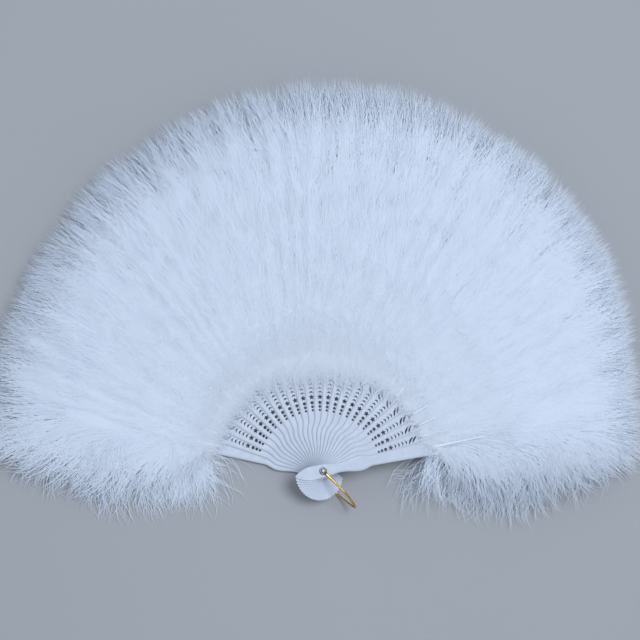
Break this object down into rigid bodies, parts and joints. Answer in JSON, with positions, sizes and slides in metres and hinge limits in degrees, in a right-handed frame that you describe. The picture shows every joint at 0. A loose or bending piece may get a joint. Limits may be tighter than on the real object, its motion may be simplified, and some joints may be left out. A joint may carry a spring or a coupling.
{
  "type": "folding feather fan",
  "caption": "Folding hand fan: slim pierced plastic sticks on one rivet, each carrying a white down plume, with a brass wire bail at the pivot for a cord.",
  "frame": {"origin": "pivot axis of the rivet, at the flat face of its rear head, which lies on the table", "axes": "+Z out of the front of the fan, +Y from the rivet to the middle of the open fan, +X to the right, where the front guard lies"},
  "size_m": [0.5361, 0.3392, 0.0458],
  "materials": {
    "stick": "satin",
    "down": "matte",
    "brass": "polished",
    "rivet": "polished",
    "ribbon": "satin"
  },
  "bodies": {
    "rear_guard_base": {"rear_guard": "stick", "rear_guard_plume": "down", "pivot_pin": "rivet", "spacing_ribbon": "ribbon"},
    "stave_01_body": {"stave_01": "stick", "plume_01": "down"},
    "stave_02_body": {"stave_02": "stick", "plume_02": "down"},
    "stave_03_body": {"stave_03": "stick", "plume_03": "down"},
    "stave_04_body": {"stave_04": "stick", "plume_04": "down"},
    "stave_05_body": {"stave_05": "stick", "plume_05": "down"},
    "stave_06_body": {"stave_06": "stick", "plume_06": "down"},
    "stave_07_body": {"stave_07": "stick", "plume_07": "down"},
    "stave_08_body": {"stave_08": "stick", "plume_08": "down"},
    "stave_09_body": {"stave_09": "stick", "plume_09": "down"},
    "stave_10_body": {"stave_10": "stick", "plume_10": "down"},
    "stave_11_body": {"stave_11": "stick", "plume_11": "down"},
    "stave_12_body": {"stave_12": "stick", "plume_12": "down"},
    "stave_13_body": {"stave_13": "stick", "plume_13": "down"},
    "stave_14_body": {"stave_14": "stick", "plume_14": "down"},
    "stave_15_body": {"stave_15": "stick", "plume_15": "down"},
    "stave_16_body": {"stave_16": "stick", "plume_16": "down"},
    "stave_17_body": {"stave_17": "stick", "plume_17": "down"},
    "stave_18_body": {"stave_18": "stick", "plume_18": "down"},
    "stave_19_body": {"stave_19": "stick", "plume_19": "down"},
    "stave_20_body": {"stave_20": "stick", "plume_20": "down"},
    "stave_21_body": {"stave_21": "stick", "plume_21": "down"},
    "stave_22_body": {"stave_22": "stick", "plume_22": "down"},
    "stave_23_body": {"stave_23": "stick", "plume_23": "down"},
    "front_guard_body": {"front_guard": "stick", "front_guard_plume": "down"},
    "bail_body": {"bail": "brass"}
  },
  "joints": [
    {"name": "stave_01_turn", "type": "hinge", "parent": "rear_guard_base", "child": "stave_01_body", "pos_m": [0, 0, 0], "axis": [0, 0, 1], "range_deg": [0, 6.47], "deforming": ["plume_01"]},
    {"name": "stave_02_turn", "type": "hinge", "parent": "rear_guard_base", "child": "stave_02_body", "pos_m": [0, 0, 0], "axis": [0, 0, 1], "range_deg": [0, 12.88], "deforming": ["plume_02"]},
    {"name": "stave_03_turn", "type": "hinge", "parent": "rear_guard_base", "child": "stave_03_body", "pos_m": [0, 0, 0], "axis": [0, 0, 1], "range_deg": [0, 19.3], "deforming": ["plume_03"]},
    {"name": "stave_04_turn", "type": "hinge", "parent": "rear_guard_base", "child": "stave_04_body", "pos_m": [0, 0, 0], "axis": [0, 0, 1], "range_deg": [0, 25.72], "deforming": ["plume_04"]},
    {"name": "stave_05_turn", "type": "hinge", "parent": "rear_guard_base", "child": "stave_05_body", "pos_m": [0, 0, 0], "axis": [0, 0, 1], "range_deg": [0, 32.13], "deforming": ["plume_05"]},
    {"name": "stave_06_turn", "type": "hinge", "parent": "rear_guard_base", "child": "stave_06_body", "pos_m": [0, 0, 0], "axis": [0, 0, 1], "range_deg": [0, 38.55], "deforming": ["plume_06"]},
    {"name": "stave_07_turn", "type": "hinge", "parent": "rear_guard_base", "child": "stave_07_body", "pos_m": [0, 0, 0], "axis": [0, 0, 1], "range_deg": [0, 44.97], "deforming": ["plume_07"]},
    {"name": "stave_08_turn", "type": "hinge", "parent": "rear_guard_base", "child": "stave_08_body", "pos_m": [0, 0, 0], "axis": [0, 0, 1], "range_deg": [0, 51.38], "deforming": ["plume_08"]},
    {"name": "stave_09_turn", "type": "hinge", "parent": "rear_guard_base", "child": "stave_09_body", "pos_m": [0, 0, 0], "axis": [0, 0, 1], "range_deg": [0, 57.8], "deforming": ["plume_09"]},
    {"name": "stave_10_turn", "type": "hinge", "parent": "rear_guard_base", "child": "stave_10_body", "pos_m": [0, 0, 0], "axis": [0, 0, 1], "range_deg": [0, 64.22], "deforming": ["plume_10"]},
    {"name": "stave_11_turn", "type": "hinge", "parent": "rear_guard_base", "child": "stave_11_body", "pos_m": [0, 0, 0], "axis": [0, 0, 1], "range_deg": [0, 70.63], "deforming": ["plume_11"]},
    {"name": "stave_12_turn", "type": "hinge", "parent": "rear_guard_base", "child": "stave_12_body", "pos_m": [0, 0, 0], "axis": [0, 0, 1], "range_deg": [0, 77.05], "deforming": ["plume_12"]},
    {"name": "stave_13_turn", "type": "hinge", "parent": "rear_guard_base", "child": "stave_13_body", "pos_m": [0, 0, 0], "axis": [0, 0, 1], "range_deg": [0, 83.47], "deforming": ["plume_13"]},
    {"name": "stave_14_turn", "type": "hinge", "parent": "rear_guard_base", "child": "stave_14_body", "pos_m": [0, 0, 0], "axis": [0, 0, 1], "range_deg": [0, 89.88], "deforming": ["plume_14"]},
    {"name": "stave_15_turn", "type": "hinge", "parent": "rear_guard_base", "child": "stave_15_body", "pos_m": [0, 0, 0], "axis": [0, 0, 1], "range_deg": [0, 96.3], "deforming": ["plume_15"]},
    {"name": "stave_16_turn", "type": "hinge", "parent": "rear_guard_base", "child": "stave_16_body", "pos_m": [0, 0, 0], "axis": [0, 0, 1], "range_deg": [0, 102.72], "deforming": ["plume_16"]},
    {"name": "stave_17_turn", "type": "hinge", "parent": "rear_guard_base", "child": "stave_17_body", "pos_m": [0, 0, 0], "axis": [0, 0, 1], "range_deg": [0, 109.13], "deforming": ["plume_17"]},
    {"name": "stave_18_turn", "type": "hinge", "parent": "rear_guard_base", "child": "stave_18_body", "pos_m": [0, 0, 0], "axis": [0, 0, 1], "range_deg": [0, 115.55], "deforming": ["plume_18"]},
    {"name": "stave_19_turn", "type": "hinge", "parent": "rear_guard_base", "child": "stave_19_body", "pos_m": [0, 0, 0], "axis": [0, 0, 1], "range_deg": [0, 121.97], "deforming": ["plume_19"]},
    {"name": "stave_20_turn", "type": "hinge", "parent": "rear_guard_base", "child": "stave_20_body", "pos_m": [0, 0, 0], "axis": [0, 0, 1], "range_deg": [0, 128.38], "deforming": ["plume_20"]},
    {"name": "stave_21_turn", "type": "hinge", "parent": "rear_guard_base", "child": "stave_21_body", "pos_m": [0, 0, 0], "axis": [0, 0, 1], "range_deg": [0, 134.8], "deforming": ["plume_21"]},
    {"name": "stave_22_turn", "type": "hinge", "parent": "rear_guard_base", "child": "stave_22_body", "pos_m": [0, 0, 0], "axis": [0, 0, 1], "range_deg": [0, 141.22], "deforming": ["plume_22"]},
    {"name": "stave_23_turn", "type": "hinge", "parent": "rear_guard_base", "child": "stave_23_body", "pos_m": [0, 0, 0], "axis": [0, 0, 1], "range_deg": [0, 147.63], "deforming": ["plume_23"]},
    {"name": "fold", "type": "hinge", "parent": "rear_guard_base", "child": "front_guard_body", "pos_m": [0, 0, 0], "axis": [0, 0, 1], "range_deg": [0, 154], "deforming": ["front_guard_plume", "rear_guard_plume", "spacing_ribbon"]},
    {"name": "bail_swing", "type": "hinge", "parent": "rear_guard_base", "child": "bail_body", "pos_m": [0, 0, 0], "axis": [0, 0, 1], "range_deg": [-131, 39]}
  ],
  "couplings": [
    {"joint": "stave_01_turn", "follows": "fold", "ratio": 0.041667},
    {"joint": "stave_02_turn", "follows": "fold", "ratio": 0.083333},
    {"joint": "stave_03_turn", "follows": "fold", "ratio": 0.125},
    {"joint": "stave_04_turn", "follows": "fold", "ratio": 0.16667},
    {"joint": "stave_05_turn", "follows": "fold", "ratio": 0.20833},
    {"joint": "stave_06_turn", "follows": "fold", "ratio": 0.25},
    {"joint": "stave_07_turn", "follows": "fold", "ratio": 0.29167},
    {"joint": "stave_08_turn", "follows": "fold", "ratio": 0.33333},
    {"joint": "stave_09_turn", "follows": "fold", "ratio": 0.375},
    {"joint": "stave_10_turn", "follows": "fold", "ratio": 0.41667},
    {"joint": "stave_11_turn", "follows": "fold", "ratio": 0.45833},
    {"joint": "stave_12_turn", "follows": "fold", "ratio": 0.5},
    {"joint": "stave_13_turn", "follows": "fold", "ratio": 0.54167},
    {"joint": "stave_14_turn", "follows": "fold", "ratio": 0.58333},
    {"joint": "stave_15_turn", "follows": "fold", "ratio": 0.625},
    {"joint": "stave_16_turn", "follows": "fold", "ratio": 0.66667},
    {"joint": "stave_17_turn", "follows": "fold", "ratio": 0.70833},
    {"joint": "stave_18_turn", "follows": "fold", "ratio": 0.75},
    {"joint": "stave_19_turn", "follows": "fold", "ratio": 0.79167},
    {"joint": "stave_20_turn", "follows": "fold", "ratio": 0.83333},
    {"joint": "stave_21_turn", "follows": "fold", "ratio": 0.875},
    {"joint": "stave_22_turn", "follows": "fold", "ratio": 0.91667},
    {"joint": "stave_23_turn", "follows": "fold", "ratio": 0.95833}
  ]
}
